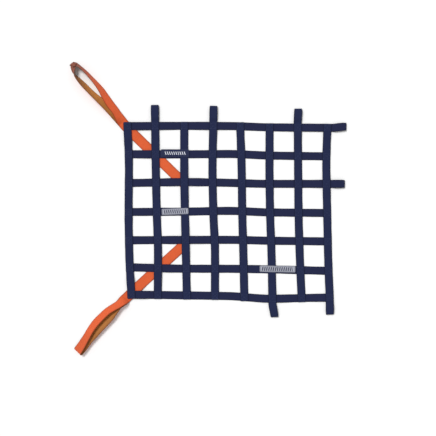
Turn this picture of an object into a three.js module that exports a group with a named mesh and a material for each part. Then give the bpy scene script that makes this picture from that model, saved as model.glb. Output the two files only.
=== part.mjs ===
// Racing window net: a net of sewn webbing straps, laid out flat.
// Millimetres, +Z up. The origin is on the surface, at the middle of the net's grid.
// Upright straps run along Y over the cross straps, which run along X.

import * as THREE from 'three';

// Webbing and sewn-on patches
const NAVY_WIDTH = 20;
const ORANGE_WIDTH = 25;
const WEBBING_THICKNESS = 1.4;
const PATCH_THICKNESS = 1.0;
const LAYER_GAP = 0.3;
const LAYER = WEBBING_THICKNESS + LAYER_GAP;

// How a strap rises over what lies under it
const CROSSING_FLAT = 11; // half length of the flat stretch over a crossing
const SLANTING_FLAT = 28; // the same where an orange strap slants through the crossing
const OPEN_SPAN = 47; // free length between two plain crossings
const SAG = 0.8; // dip of an upright strap at the middle of such a length
const STEPS_PER_SPAN = 4;

// Tab loops at the ends of some straps
const TAB_CLEARANCE = 4.7; // height of the opening inside a tab
const TAB_RISE = 12; // length over which the upper layer rises to its full height
const TAB_RUN_UNDER = 17.5; // how far the folded end runs back under the border strap
const FOLD_STEPS = 6;
const END_MARGIN = 9.8; // from a border strap's centre line to a plain strap end

// X of each upright strap's centre line, at these five values of Y
const UPRIGHT_PLACES = { bottom: -205, lower: -105, middle: 0, upper: 105, top: 207 };
const UPRIGHTS = [
  { bottom: -235.5, lower: -240.8, middle: -242.5, upper: -241.7, top: -245.0 },
  { bottom: -171.6, lower: -171.0, middle: -174.2, upper: -176.5, top: -178.0 },
  { bottom: -101.0, lower: -103.3, middle: -105.8, upper: -107.4, top: -107.3 },
  { bottom: -32.8, lower: -32.6, middle: -36.8, upper: -38.8, top: -37.0 },
  { bottom: 38.5, lower: 36.3, middle: 33.4, upper: 32.0, top: 28.5 },
  { bottom: 106.5, lower: 104.6, middle: 101.0, upper: 99.6, top: 100.0 },
  { bottom: 177.5, lower: 173.1, middle: 170.2, upper: 169.2, top: 168.3 },
  { bottom: 245.5, lower: 242.0, middle: 239.7, upper: 237.6, top: 240.0 },
];

// Y of each cross strap's centre line, at these five values of X
const CROSS_PLACES = { left: -210, midLeft: -105, middle: 0, midRight: 101, right: 203 };
const CROSS_STRAPS = [
  { left: 207.4, midLeft: 208.0, middle: 207.6, midRight: 204.5, right: 203.6 },
  { left: 139.0, midLeft: 139.0, middle: 139.7, midRight: 135.9, right: 134.5 },
  { left: 69.7, midLeft: 71.5, middle: 69.7, midRight: 67.1, right: 67.1 },
  { left: -1.0, midLeft: -0.3, middle: 1.5, midRight: -2.2, right: -3.3 },
  { left: -69.7, midLeft: -69.0, middle: -68.9, midRight: -71.0, right: -72.2 },
  { left: -136.3, midLeft: -138.9, middle: -139.2, midRight: -140.6, right: -143.2 },
  { left: -202.2, midLeft: -203.8, middle: -205.5, midRight: -211.7, right: -209.8 },
];

// Tab loops: the strap they belong to, how far they reach past the border strap's outer edge,
// and how far the tip is shifted sideways
const UPRIGHT_TABS = [
  { strap: 2, end: 'top', reach: 41.1, shift: 0 },
  { strap: 4, end: 'top', reach: 38.7, shift: 0 },
  { strap: 7, end: 'top', reach: 35.9, shift: 1.5 },
  { strap: 6, end: 'bottom', reach: 34.7, shift: 4.1 },
  { strap: 8, end: 'bottom', reach: 31.2, shift: -1.0 },
];
const CROSS_TABS = [
  { strap: 1, end: 'right', reach: 36.5, shift: 3.0 },
  { strap: 3, end: 'right', reach: 34.5, shift: 0 },
];

// The orange straps slant under the left corners of the net and end in long loops.
// underNet: points of the centre line from the hidden end outwards.
// Each section of the loop is given on an axis that starts near the corner:
// along it, across it (to the right of the way out), lift of the lower edge, and roll of the strap.
// The upper edge leans to the left of the way out, or where lean is given, that many degrees further
// round: 90 is back towards the net, 180 to the right of the way out.
const ORANGE_STRAPS = {
  orange_strap_upper: {
    underNet: [[-104.5, 64.6], [-139.5, 98.9], [-210.0, 167.9]],
    loopStart: [-248.8, 212.6],
    loopHeading: 131.6,
    sections: [
      { along: -30, across: -2.7, lift: 1.7, roll: 0 },
      { along: 7, across: -3.9, lift: 1.7, roll: 0 },
      { along: 15, across: -2.9, lift: 2.5, roll: 13 },
      { along: 25, across: -1, lift: 2.6, roll: 31 },
      { along: 40, across: 1.9, lift: 1.6, roll: 42 },
      { along: 60, across: 3.3, lift: 0.8, roll: 41 },
      { along: 81, across: 6.4, lift: 0.4, roll: 47 },
      { along: 101, across: 10, lift: 0.2, roll: 57 },
      { along: 121, across: 11.3, lift: 0, roll: 66 },
      { along: 141, across: 11.2, lift: 0, roll: 71 },
      { along: 160, across: 10.6, lift: 0, roll: 74 },
      { along: 174, across: 8.9, lift: 0, roll: 75, lean: 5 },
      { along: 183, across: 6.4, lift: 0, roll: 70, lean: 30 },
      { along: 188.6, across: 3, lift: 0, roll: 60, lean: 62 },
      { along: 191, across: 0, lift: 0, roll: 54, lean: 86 },
      { along: 188, across: -3.9, lift: 0, roll: 55, lean: 110 },
      { along: 183, across: -6.8, lift: 0, roll: 61, lean: 138 },
      { along: 177, across: -10.8, lift: 0, roll: 74, lean: 162 },
      { along: 170, across: -13.6, lift: 0, roll: 94, lean: 178 },
      { along: 162, across: -14.1, lift: 0, roll: 106, lean: 180 },
      { along: 150, across: -14, lift: 0, roll: 114, lean: 180 },
      { along: 136, across: -13.5, lift: 0, roll: 119, lean: 180 },
      { along: 118, across: -12.6, lift: 0, roll: 120, lean: 180 },
      { along: 101, across: -11.2, lift: 0, roll: 123, lean: 180 },
      { along: 81, across: -8.8, lift: 0, roll: 132, lean: 180 },
      { along: 60, across: -6.2, lift: 0, roll: 143, lean: 180 },
      { along: 40, across: -4.6, lift: 0, roll: 157, lean: 180 },
      { along: 26, across: -3.9, lift: 0, roll: 171, lean: 180 },
      { along: 14, across: -4, lift: 0, roll: 180, lean: 180 },
      { along: -26, across: -3, lift: 0, roll: 180, lean: 180 },
    ],
  },
  orange_strap_lower: {
    underNet: [[-106.7, -79.9], [-137.1, -107.6], [-203.9, -168.4]],
    loopStart: [-246.4, -210.2],
    loopHeading: 229.3,
    sections: [
      { along: -38, across: -2.6, lift: 1.7, roll: 0 },
      { along: 1, across: 1.4, lift: 1.7, roll: 0 },
      { along: 8, across: 2.5, lift: 3.3, roll: 16 },
      { along: 15, across: 3.5, lift: 3.2, roll: 35 },
      { along: 24, across: 5.4, lift: 2.8, roll: 43 },
      { along: 38, across: 10.2, lift: 2.2, roll: 47 },
      { along: 53, across: 14.8, lift: 1.5, roll: 49 },
      { along: 73, across: 17.3, lift: 1, roll: 48 },
      { along: 95, across: 18.4, lift: 1, roll: 46 },
      { along: 114, across: 16.8, lift: 1.5, roll: 47 },
      { along: 135, across: 12.8, lift: 3.5, roll: 45 },
      { along: 154, across: 9.4, lift: 6, roll: 38 },
      { along: 165, across: 7.8, lift: 7, roll: 33 },
      { along: 171.6, across: 7.2, lift: 7, roll: 30 },
      { along: 174.6, across: 6.6, lift: 6, roll: 30 },
      { along: 175.8, across: 5.1, lift: 3.5, roll: 30 },
      { along: 174.6, across: 3.6, lift: 1, roll: 30 },
      { along: 171.6, across: 3, lift: 0, roll: 29 },
      { along: 158, across: 3.4, lift: 0, roll: 28 },
      { along: 140, across: 4.6, lift: 0, roll: 29 },
      { along: 118, across: 4, lift: 0, roll: 30 },
      { along: 80, across: 2.6, lift: 0, roll: 31 },
      { along: 60, across: 1.6, lift: 0, roll: 33 },
      { along: 40, across: 3.6, lift: 0, roll: 36 },
      { along: 26, across: 4.5, lift: 0, roll: 35 },
      { along: 18, across: 3.4, lift: 0, roll: 26 },
      { along: 11, across: 2.5, lift: 0, roll: 9 },
      { along: 4, across: 1.7, lift: 0, roll: 0 },
      { along: -33, across: -2, lift: 0, roll: 0 },
    ],
  },
};
const ORANGE_STEPS = 3; // steps between two sections

// Layers that lie under the cross strap, at the crossings that have any.
// A crossing is named by its upright strap's number and its cross strap's number.
const LAYERS_UNDER_CROSSING = {
  '1,1': 2, '1,7': 2, // an orange strap and its folded end
  '2,2': 1, '3,3': 1, '2,6': 1, '3,5': 1, // an orange strap
  '2,1': 1, '4,1': 1, '7,1': 1, '6,7': 1, '8,7': 1, '8,1': 1, '8,3': 1, // the folded end of a tab
};
// Crossings that an orange strap slants through
const SLANTING_CROSSINGS = ['1,1', '2,2', '3,3', '1,7', '2,6', '3,5'];

// Patches sewn on a cross strap, over one upright strap
const PATCHES = {
  patch_navy: { cross: 2, upright: 3, x: -129.8, y: 141.5, length: 68, width: 19, tilt: 0 },
  patch_silver_middle: { cross: 4, upright: 3, x: -129.5, y: 0, length: 64, width: 14.5, tilt: 2.3 },
  patch_silver_lower: { cross: 6, upright: 6, x: 119.2, y: -139.7, length: 86, width: 15, tilt: -1 },
};
const PATCH_CLIMB = 4; // length over which a patch climbs onto the upright strap
const PATCH_CLIMB_END = 1; // how far from the upright strap's edge it is fully up
const PATCH_STEPS = 24;

const navy = new THREE.MeshStandardMaterial({ color: 0x2a3355, roughness: 0.85, metalness: 0 });
const orange = new THREE.MeshStandardMaterial({ color: 0xe1643c, roughness: 0.8, metalness: 0 });
const silver = new THREE.MeshStandardMaterial({ color: 0x8a8b99, roughness: 0.6, metalness: 0 });

// A smooth curve through the values, which never swings past them and goes on straight at its ends
function smoothThrough(places, values) {
  const steps = places.slice(1).map((place, i) => (values[i + 1] - values[i]) / (place - places[i]));
  const slopes = places.map((place, i) => {
    const before = steps[Math.max(i - 1, 0)];
    const after = steps[Math.min(i, steps.length - 1)];
    return before * after > 0 ? (2 * before * after) / (before + after) : 0;
  });
  const last = places.length - 1;
  return (at) => {
    if (at <= places[0]) return values[0] + slopes[0] * (at - places[0]);
    if (at >= places[last]) return values[last] + slopes[last] * (at - places[last]);
    const i = places.findIndex((place) => place > at) - 1;
    const span = places[i + 1] - places[i];
    const t = (at - places[i]) / span;
    const blend = t * t * (3 - 2 * t);
    const leave = t * (1 - t) * (1 - t) * span * slopes[i];
    const arrive = t * t * (t - 1) * span * slopes[i + 1];
    return values[i] * (1 - blend) + values[i + 1] * blend + leave + arrive;
  };
}

function ease(t) {
  const bounded = Math.min(Math.max(t, 0), 1);
  return bounded * bounded * (3 - 2 * bounded);
}

const uprightX = UPRIGHTS.map((row) => {
  const names = Object.keys(UPRIGHT_PLACES);
  return smoothThrough(names.map((name) => UPRIGHT_PLACES[name]), names.map((name) => row[name]));
});
const crossY = CROSS_STRAPS.map((row) => {
  const names = Object.keys(CROSS_PLACES);
  return smoothThrough(names.map((name) => CROSS_PLACES[name]), names.map((name) => row[name]));
});

// The point where an upright strap and a cross strap meet
function crossing(upright, cross) {
  let y = CROSS_STRAPS[cross - 1].middle;
  let x = 0;
  for (let round = 0; round < 4; round += 1) {
    x = uprightX[upright - 1](y);
    y = crossY[cross - 1](x);
  }
  return { x, y };
}

// What carries a strap along its length: places where it lies level, with the height of its underside
function support(at, upright, cross, layersBelow) {
  const name = `${upright},${cross}`;
  const half = SLANTING_CROSSINGS.includes(name) ? SLANTING_FLAT : CROSSING_FLAT;
  const height = LAYER * (layersBelow + (LAYERS_UNDER_CROSSING[name] ?? 0));
  return { from: at - half, to: at + half, height };
}

function uprightSupports(upright) {
  const supports = CROSS_STRAPS.map((row, i) => support(crossing(upright, i + 1).y, upright, i + 1, 1));
  return supports.reverse();
}

function crossSupports(cross) {
  return UPRIGHTS.map((row, i) => support(crossing(i + 1, cross).x, i + 1, cross, 0));
}

// Height of a strap's underside at a place on its length
function heightOn(supports, at, sag) {
  if (at <= supports[0].from) return supports[0].height;
  for (let i = 0; i < supports.length; i += 1) {
    const here = supports[i];
    if (at <= here.to) return here.height;
    const next = supports[i + 1];
    if (next === undefined) return here.height;
    if (at < next.from) {
      const span = next.from - here.to;
      const t = (at - here.to) / span;
      const dip = sag * (span / OPEN_SPAN) ** 2 * Math.sin(Math.PI * t) ** 2;
      return here.height + (next.height - here.height) * ease(t) - dip;
    }
  }
  return 0;
}

// Places to step through: both ends of each level stretch, and some between them
function stepsOn(supports, start, end) {
  const places = [start];
  supports.forEach((here, i) => {
    places.push(here.from, here.to);
    const next = supports[i + 1];
    if (next === undefined) return;
    for (let step = 1; step < STEPS_PER_SPAN; step += 1) {
      places.push(here.to + ((next.from - here.to) * step) / STEPS_PER_SPAN);
    }
  });
  places.push(end);
  return places.filter((place) => place >= start && place <= end);
}

// Side view of a tab loop, from the border strap out, round the fold and back under it.
// Each point is a distance past the border strap's outer edge, and the height of the webbing's middle.
function tabProfile(reach, startHeight) {
  const half = WEBBING_THICKNESS / 2;
  const foldRadius = (TAB_CLEARANCE + WEBBING_THICKNESS) / 2;
  const foldCentre = reach - foldRadius - half;
  const top = half + 2 * foldRadius;
  const profile = [];
  for (const t of [0.25, 0.5, 0.75, 1]) {
    profile.push([TAB_RISE * t, startHeight + half + (top - half - startHeight) * ease(t)]);
  }
  for (let step = 0; step <= FOLD_STEPS; step += 1) {
    const turn = (Math.PI * step) / FOLD_STEPS;
    profile.push([foldCentre + foldRadius * Math.sin(turn), half + foldRadius * (1 + Math.cos(turn))]);
  }
  profile.push([foldCentre / 2, half], [0, half], [-TAB_RUN_UNDER, half]);
  return profile;
}

// A strap's path: its middle at each step, as a place on its length and a height,
// with the sideways shift that its tabs add
function strapPath(supports, sag, start, end, tabs) {
  const half = WEBBING_THICKNESS / 2;
  const path = stepsOn(supports, start.edge, end.edge).map((at) => ({
    at,
    height: heightOn(supports, at, sag) + half,
    shift: 0,
  }));
  const addTab = (tab, border, sign) => {
    const startHeight = heightOn(supports, border, 0);
    const points = tabProfile(tab.reach, startHeight).map(([distance, height]) => ({
      at: border + sign * distance,
      height,
      shift: tab.shift * ease(distance / tab.reach),
    }));
    if (sign > 0) path.push(...points);
    else path.unshift(...points.reverse());
  };
  const tabAtStart = tabs.find((tab) => tab.end === start.name);
  const tabAtEnd = tabs.find((tab) => tab.end === end.name);
  if (tabAtStart) addTab(tabAtStart, start.edge, -1);
  if (tabAtEnd) addTab(tabAtEnd, end.edge, 1);
  return path;
}

// The direction of travel at a station, and a width direction square to it
function aheadAt(stations, i) {
  const before = stations[Math.max(i - 1, 0)].middle;
  const after = stations[Math.min(i + 1, stations.length - 1)].middle;
  return after.clone().sub(before).normalize();
}

function squareTo(ahead, side) {
  return side.clone().addScaledVector(ahead, -ahead.dot(side)).normalize();
}

// A closed band swept along stations, each with its middle point and its width direction
function band(stations, width, thickness) {
  const corners = [[1, 1], [-1, 1], [-1, -1], [1, -1]];
  const positions = [];
  const faces = [];
  stations.forEach((station, i) => {
    const ahead = aheadAt(stations, i);
    const side = squareTo(ahead, station.side);
    const out = ahead.clone().cross(side);
    for (const [across, up] of corners) {
      const corner = station.middle.clone();
      corner.addScaledVector(side, (across * width) / 2).addScaledVector(out, (up * thickness) / 2);
      positions.push(corner.x, corner.y, Math.max(corner.z, 0)); // it rests on the surface
    }
    if (i === 0) return;
    const here = i * 4;
    const last = here - 4;
    for (let k = 0; k < 4; k += 1) {
      const next = (k + 1) % 4;
      faces.push(last + k, last + next, here + next, last + k, here + next, here + k);
    }
  });
  const end = (stations.length - 1) * 4;
  faces.push(0, 3, 2, 0, 2, 1, end, end + 1, end + 2, end, end + 2, end + 3);
  const geometry = new THREE.BufferGeometry();
  geometry.setAttribute('position', new THREE.Float32BufferAttribute(positions, 3));
  geometry.setIndex(faces);
  geometry.computeVertexNormals();
  return geometry;
}

function uprightStations(upright) {
  const line = uprightX[upright - 1];
  const bottom = crossing(upright, CROSS_STRAPS.length).y;
  const top = crossing(upright, 1).y;
  const tabs = UPRIGHT_TABS.filter((tab) => tab.strap === upright);
  const margin = (name) => (tabs.some((tab) => tab.end === name) ? NAVY_WIDTH / 2 : END_MARGIN);
  const start = { name: 'bottom', edge: bottom - margin('bottom') };
  const end = { name: 'top', edge: top + margin('top') };
  return strapPath(uprightSupports(upright), SAG, start, end, tabs).map(({ at, height, shift }) => ({
    middle: new THREE.Vector3(line(at) + shift, at, height),
    side: new THREE.Vector3(-1, line(at + 1) - line(at), 0),
  }));
}

function crossStations(cross) {
  const line = crossY[cross - 1];
  const left = crossing(1, cross).x;
  const right = crossing(UPRIGHTS.length, cross).x;
  const tabs = CROSS_TABS.filter((tab) => tab.strap === cross);
  const rightMargin = tabs.length > 0 ? NAVY_WIDTH / 2 : END_MARGIN;
  const start = { name: 'left', edge: left - END_MARGIN };
  const end = { name: 'right', edge: right + rightMargin };
  return strapPath(crossSupports(cross), 0, start, end, tabs).map(({ at, height, shift }) => ({
    middle: new THREE.Vector3(at, line(at) + shift, height),
    side: new THREE.Vector3(line(at) - line(at + 1), 1, 0),
  }));
}

// An orange strap: flat under the net, then out along its loop and back
function orangeStations({ underNet, loopStart, loopHeading, sections }) {
  const heading = THREE.MathUtils.degToRad(loopHeading);
  const along = new THREE.Vector2(Math.cos(heading), Math.sin(heading));
  const across = new THREE.Vector2(along.y, -along.x);
  const halfWidth = ORANGE_WIDTH / 2;
  const halfThickness = WEBBING_THICKNESS / 2;
  const rows = underNet.map(([x, y]) => ({ x, y, height: halfThickness, roll: 0 }));
  for (const section of sections) {
    const place = new THREE.Vector2(...loopStart);
    place.addScaledVector(along, section.along).addScaledVector(across, section.across);
    const roll = THREE.MathUtils.degToRad(section.roll);
    const lean = THREE.MathUtils.degToRad(section.lean ?? 0);
    const height = section.lift + halfWidth * Math.sin(roll) + halfThickness * Math.abs(Math.cos(roll));
    rows.push({ x: place.x, y: place.y, height, roll, lean });
  }
  const travelled = [0];
  for (let i = 1; i < rows.length; i += 1) {
    const [from, to] = [rows[i - 1], rows[i]];
    travelled.push(travelled[i - 1] + Math.hypot(to.x - from.x, to.y - from.y, to.height - from.height));
  }
  const column = (name) => smoothThrough(travelled, rows.map((row) => row[name] ?? 0));
  const [x, y, height, roll, lean] = ['x', 'y', 'height', 'roll', 'lean'].map(column);
  const places = [];
  for (let i = 0; i < rows.length - 1; i += 1) {
    for (let step = 0; step < ORANGE_STEPS; step += 1) {
      places.push(travelled[i] + ((travelled[i + 1] - travelled[i]) * step) / ORANGE_STEPS);
    }
  }
  places.push(travelled[rows.length - 1]);
  const stations = places.map((at) => {
    const level = across.clone().multiplyScalar(-Math.cos(lean(at)));
    level.addScaledVector(along, -Math.sin(lean(at))).multiplyScalar(Math.cos(roll(at)));
    return {
      middle: new THREE.Vector3(x(at), y(at), height(at)),
      side: new THREE.Vector3(level.x, level.y, Math.sin(roll(at))),
    };
  });
  const sides = stations.map((station, i) => squareTo(aheadAt(stations, i), station.side));
  stations.forEach((station, i) => {
    const side = sides[i];
    const level = Math.hypot(side.x, side.y);
    station.side = side;
    station.middle.z = Math.max(station.middle.z, halfWidth * Math.abs(side.z) + halfThickness * level);
  });
  return stations;
}

// A patch follows the cross strap and climbs over the upright strap
function patchStations({ cross, upright, x, y, length, tilt }) {
  const slope = Math.tan(THREE.MathUtils.degToRad(tilt));
  const meeting = crossing(upright, cross);
  const crossTop = (at) => heightOn(crossSupports(cross), at, 0) + WEBBING_THICKNESS;
  const uprightTop = heightOn(uprightSupports(upright), meeting.y, 0) + WEBBING_THICKNESS;
  const climbStart = NAVY_WIDTH / 2 + PATCH_CLIMB_END + PATCH_CLIMB;
  const stations = [];
  for (let step = 0; step <= PATCH_STEPS; step += 1) {
    const offset = length * (step / PATCH_STEPS - 0.5);
    const at = x + offset;
    const climb = ease((climbStart - Math.abs(at - meeting.x)) / PATCH_CLIMB);
    const under = crossTop(at) * (1 - climb) + uprightTop * climb;
    stations.push({
      middle: new THREE.Vector3(at, y + offset * slope, under + LAYER_GAP + PATCH_THICKNESS / 2),
      side: new THREE.Vector3(-slope, 1, 0),
    });
  }
  return stations;
}

const net = new THREE.Group();

function addPiece(name, geometry, material) {
  const piece = new THREE.Mesh(geometry, material);
  piece.name = name;
  net.add(piece);
}

UPRIGHTS.forEach((row, i) => {
  addPiece(`upright_strap_${i + 1}`, band(uprightStations(i + 1), NAVY_WIDTH, WEBBING_THICKNESS), navy);
});
CROSS_STRAPS.forEach((row, i) => {
  addPiece(`cross_strap_${i + 1}`, band(crossStations(i + 1), NAVY_WIDTH, WEBBING_THICKNESS), navy);
});
for (const [name, strap] of Object.entries(ORANGE_STRAPS)) {
  addPiece(name, band(orangeStations(strap), ORANGE_WIDTH, WEBBING_THICKNESS), orange);
}
for (const [name, patch] of Object.entries(PATCHES)) {
  const material = name === 'patch_navy' ? navy : silver;
  addPiece(name, band(patchStations(patch), patch.width, PATCH_THICKNESS), material);
}

export default net;
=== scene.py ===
# %% [markdown]
# # A racing window net, laid out flat
# The object is a net of flat woven webbing: eight upright straps are sewn over seven cross straps, some
# straps go on past the border and fold back as tab loops, and two orange straps slant out from under the
# left corners as long loops. Almost everything here is one idea used many times: a flat band swept along
# a path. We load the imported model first, because each strap made here takes the place of one of its nodes.

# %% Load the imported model
import math

import bpy
import numpy as np
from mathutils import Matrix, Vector


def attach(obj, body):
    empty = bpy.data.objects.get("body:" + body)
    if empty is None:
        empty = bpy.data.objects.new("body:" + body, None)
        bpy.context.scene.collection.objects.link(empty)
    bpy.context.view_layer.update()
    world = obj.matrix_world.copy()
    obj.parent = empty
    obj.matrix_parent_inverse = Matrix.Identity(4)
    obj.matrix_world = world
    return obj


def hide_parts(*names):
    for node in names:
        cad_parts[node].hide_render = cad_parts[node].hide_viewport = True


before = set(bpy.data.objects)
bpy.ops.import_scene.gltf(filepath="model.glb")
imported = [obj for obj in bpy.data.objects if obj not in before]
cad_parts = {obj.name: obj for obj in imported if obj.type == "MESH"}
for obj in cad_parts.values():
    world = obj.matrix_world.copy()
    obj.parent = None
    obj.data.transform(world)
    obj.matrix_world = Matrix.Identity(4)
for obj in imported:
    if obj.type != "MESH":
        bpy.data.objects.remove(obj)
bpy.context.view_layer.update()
print("nodes in the model:", len(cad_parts))

# %% [markdown]
# The driving dimensions come next, in millimetres, the same as in the source of the solids. Webbing of
# 20 mm and 25 mm is what such nets are sewn from. A strap could be drawn point by point, but a few places
# joined by a smooth curve are easier to read and to change. So each strap's centre line is given at five
# places, which is enough for the slight unevenness of a hand-sewn net.

# %% Webbing and centre lines, in millimetres
MM = 0.001
NAVY_WIDTH = 20
ORANGE_WIDTH = 25
WEBBING_THICKNESS = 1.4
LAYER_GAP = 0.3  # between two layers that are sewn together
LAYER = WEBBING_THICKNESS + LAYER_GAP

# The y of each place, and the x of every upright strap there, from left to right
UPRIGHT_PLACES = [-205, -105, 0, 105, 207]
UPRIGHTS = [
    [-235.5, -240.8, -242.5, -241.7, -245.0],
    [-171.6, -171.0, -174.2, -176.5, -178.0],
    [-101.0, -103.3, -105.8, -107.4, -107.3],
    [-32.8, -32.6, -36.8, -38.8, -37.0],
    [38.5, 36.3, 33.4, 32.0, 28.5],
    [106.5, 104.6, 101.0, 99.6, 100.0],
    [177.5, 173.1, 170.2, 169.2, 168.3],
    [245.5, 242.0, 239.7, 237.6, 240.0],
]
# The x of each place, and the y of every cross strap there, from top to bottom
CROSS_PLACES = [-210, -105, 0, 101, 203]
CROSS_STRAPS = [
    [207.4, 208.0, 207.6, 204.5, 203.6],
    [139.0, 139.0, 139.7, 135.9, 134.5],
    [69.7, 71.5, 69.7, 67.1, 67.1],
    [-1.0, -0.3, 1.5, -2.2, -3.3],
    [-69.7, -69.0, -68.9, -71.0, -72.2],
    [-136.3, -138.9, -139.2, -140.6, -143.2],
    [-202.2, -203.8, -205.5, -211.7, -209.8],
]
print("straps:", len(UPRIGHTS), "upright,", len(CROSS_STRAPS), "across")

# %% [markdown]
# The camera hangs straight above the net, as the photograph was taken. Its distance is 3 m, so the
# raised edges of the orange loops shift outwards a little, as they do in a real picture.

# %% Camera
CAMERA_HEIGHT = 3.0
VIEW_CENTRE = (-0.0253, -0.0158)
VIEW_SPAN = 1.0595

camera_data = bpy.data.cameras.new("camera")
camera_data.angle = 2 * math.atan(VIEW_SPAN / 2 / CAMERA_HEIGHT)
camera = bpy.data.objects.new("camera", camera_data)
camera.location = (*VIEW_CENTRE, CAMERA_HEIGHT)
bpy.context.collection.objects.link(camera)
bpy.context.scene.camera = camera
print("camera height:", CAMERA_HEIGHT, "m, view span:", VIEW_SPAN, "m")

# %% [markdown]
# The light is an even surround with one key lamp from the upper left. An area lamp close by would light
# the near side of the floor more than the far side. A sun lamp lights everything from one direction
# instead, and its spread makes the edges of the shadows soft. It leaves a thin grey shadow on the right
# and lower side of each strap.

# %% Light
SURROUND = 0.54  # brightness of the even surround
KEY_FROM = (-1.0, 1.1, 2.9)  # the direction that the key light comes from
KEY_SPREAD = math.radians(18)
KEY_STRENGTH = 2.0
WHITE = (1.0, 1.0, 1.0, 1.0)

scene = bpy.context.scene
scene.view_settings.view_transform = "Standard"
world = bpy.data.worlds.new("studio")
world.use_nodes = True
background = world.node_tree.nodes["Background"]
background.inputs["Color"].default_value = WHITE
background.inputs["Strength"].default_value = SURROUND
scene.world = world

key_data = bpy.data.lights.new("key_light", "SUN")
key_data.angle = KEY_SPREAD
key_data.energy = KEY_STRENGTH
key = bpy.data.objects.new("key_light", key_data)
key.location = KEY_FROM
key.rotation_euler = Vector(KEY_FROM).to_track_quat("Z", "Y").to_euler()
bpy.context.collection.objects.link(key)
print("surround:", SURROUND, "key light:", KEY_STRENGTH)

# %% [markdown]
# The floor is one plain face. It lies a hair below the net, because two faces at the same height would
# flicker into each other.

# %% Floor
FLOOR_HALF = 3.0
FLOOR_DROP = 0.0002  # in metres

floor_data = bpy.data.meshes.new("floor")
floor_corners = [(x, y, -FLOOR_DROP) for x, y in ((-FLOOR_HALF, -FLOOR_HALF), (FLOOR_HALF, -FLOOR_HALF),
                                                  (FLOOR_HALF, FLOOR_HALF), (-FLOOR_HALF, FLOOR_HALF))]
floor_data.from_pydata(floor_corners, [], [(0, 1, 2, 3)])
floor = bpy.data.objects.new("floor", floor_data)
bpy.context.collection.objects.link(floor)
print("floor:", 2 * FLOOR_HALF, "m wide")

# %% [markdown]
# Straps are smooth curves through few points. A common spline swings a little past its points, and a
# strap that should lie level would then wave. The curve used here, a monotone cubic, never swings past
# them, so what is level stays level.

# %% Smooth curves


def smooth_through(places, values):
    """A curve through the values that never swings past them and goes on straight at its ends."""
    places = np.asarray(places, float)
    values = np.asarray(values, float)
    steps = np.diff(values) / np.diff(places)
    before = np.concatenate([steps[:1], steps])
    after = np.concatenate([steps, steps[-1:]])
    same_way = before * after > 0
    slopes = np.zeros(len(places))
    slopes[same_way] = 2 * (before * after)[same_way] / (before + after)[same_way]

    def curve(at):
        at = np.asarray(at, float)
        i = np.clip(np.searchsorted(places, at, side="right") - 1, 0, len(places) - 2)
        span = places[i + 1] - places[i]
        t = np.clip((at - places[i]) / span, 0, 1)
        blend = t * t * (3 - 2 * t)
        leave = t * (1 - t) ** 2 * span * slopes[i]
        arrive = t * t * (t - 1) * span * slopes[i + 1]
        inside = values[i] * (1 - blend) + values[i + 1] * blend + leave + arrive
        before_start = slopes[0] * np.minimum(at - places[0], 0)
        past_end = slopes[-1] * np.maximum(at - places[-1], 0)
        return inside + before_start + past_end

    return curve


def ease(t):
    """Goes from 0 to 1 with a soft start and a soft end."""
    t = np.clip(t, 0, 1)
    return t * t * (3 - 2 * t)


upright_x = [smooth_through(UPRIGHT_PLACES, row) for row in UPRIGHTS]
cross_y = [smooth_through(CROSS_PLACES, row) for row in CROSS_STRAPS]
CROSSING_PASSES = 4  # each pass brings the guess closer to the true crossing


def crossing(upright, cross):
    """The point where an upright strap and a cross strap meet."""
    y = CROSS_STRAPS[cross - 1][2]
    for _ in range(CROSSING_PASSES):
        x = float(upright_x[upright - 1](y))
        y = float(cross_y[cross - 1](x))
    return x, y


print("first crossing:", [round(v, 1) for v in crossing(1, 1)])

# %% [markdown]
# How high a strap lies is a matter of counting the layers under it. A cross strap lies on the surface,
# and rises where a folded tab or an orange strap lies under it. An upright strap lies over all of them.
# The strap is level over each crossing and eases from one level to the next between two of them. An
# upright strap also dips a little there, because nothing carries it.

# %% Heights
CROSSING_FLAT = 11  # half length of the level stretch over a crossing
SLANTING_FLAT = 28  # the same where an orange strap slants through the crossing
OPEN_SPAN = 47  # the free length between two crossings that the dip is given for
SAG = 0.8  # how far an upright strap dips in the middle of that length

# Layers under the cross strap, at the crossings that have any (upright strap, cross strap)
LAYERS_UNDER_CROSSING = {
    (1, 1): 2, (1, 7): 2,
    (2, 2): 1, (3, 3): 1, (2, 6): 1, (3, 5): 1,
    (2, 1): 1, (4, 1): 1, (7, 1): 1, (6, 7): 1, (8, 7): 1, (8, 1): 1, (8, 3): 1,
}
SLANTING_CROSSINGS = [(1, 1), (2, 2), (3, 3), (1, 7), (2, 6), (3, 5)]


def support(at, upright, cross, layers_below):
    """Where a strap lies level at a crossing, and the height of its underside there."""
    name = (upright, cross)
    half = SLANTING_FLAT if name in SLANTING_CROSSINGS else CROSSING_FLAT
    return at - half, at + half, LAYER * (layers_below + LAYERS_UNDER_CROSSING.get(name, 0))


def upright_supports(upright):
    """The level stretches of an upright strap, from the bottom up. One cross strap lies under each."""
    crosses = range(len(CROSS_STRAPS), 0, -1)
    return [support(crossing(upright, cross)[1], upright, cross, 1) for cross in crosses]


def cross_supports(cross):
    """The level stretches of a cross strap, from left to right."""
    uprights = range(1, len(UPRIGHTS) + 1)
    return [support(crossing(upright, cross)[0], upright, cross, 0) for upright in uprights]


def height_on(supports, at, sag):
    """Height of a strap's underside at one place on its length."""
    if at <= supports[0][0]:
        return supports[0][2]
    for here, following in zip(supports, supports[1:]):
        if at <= here[1]:
            return here[2]
        if at < following[0]:
            span = following[0] - here[1]
            t = (at - here[1]) / span
            dip = sag * (span / OPEN_SPAN) ** 2 * math.sin(math.pi * t) ** 2
            return here[2] + (following[2] - here[2]) * float(ease(t)) - dip
    return supports[-1][2]


print("underside of upright strap 1 at the bottom:", round(upright_supports(1)[0][2], 1), "mm")

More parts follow.
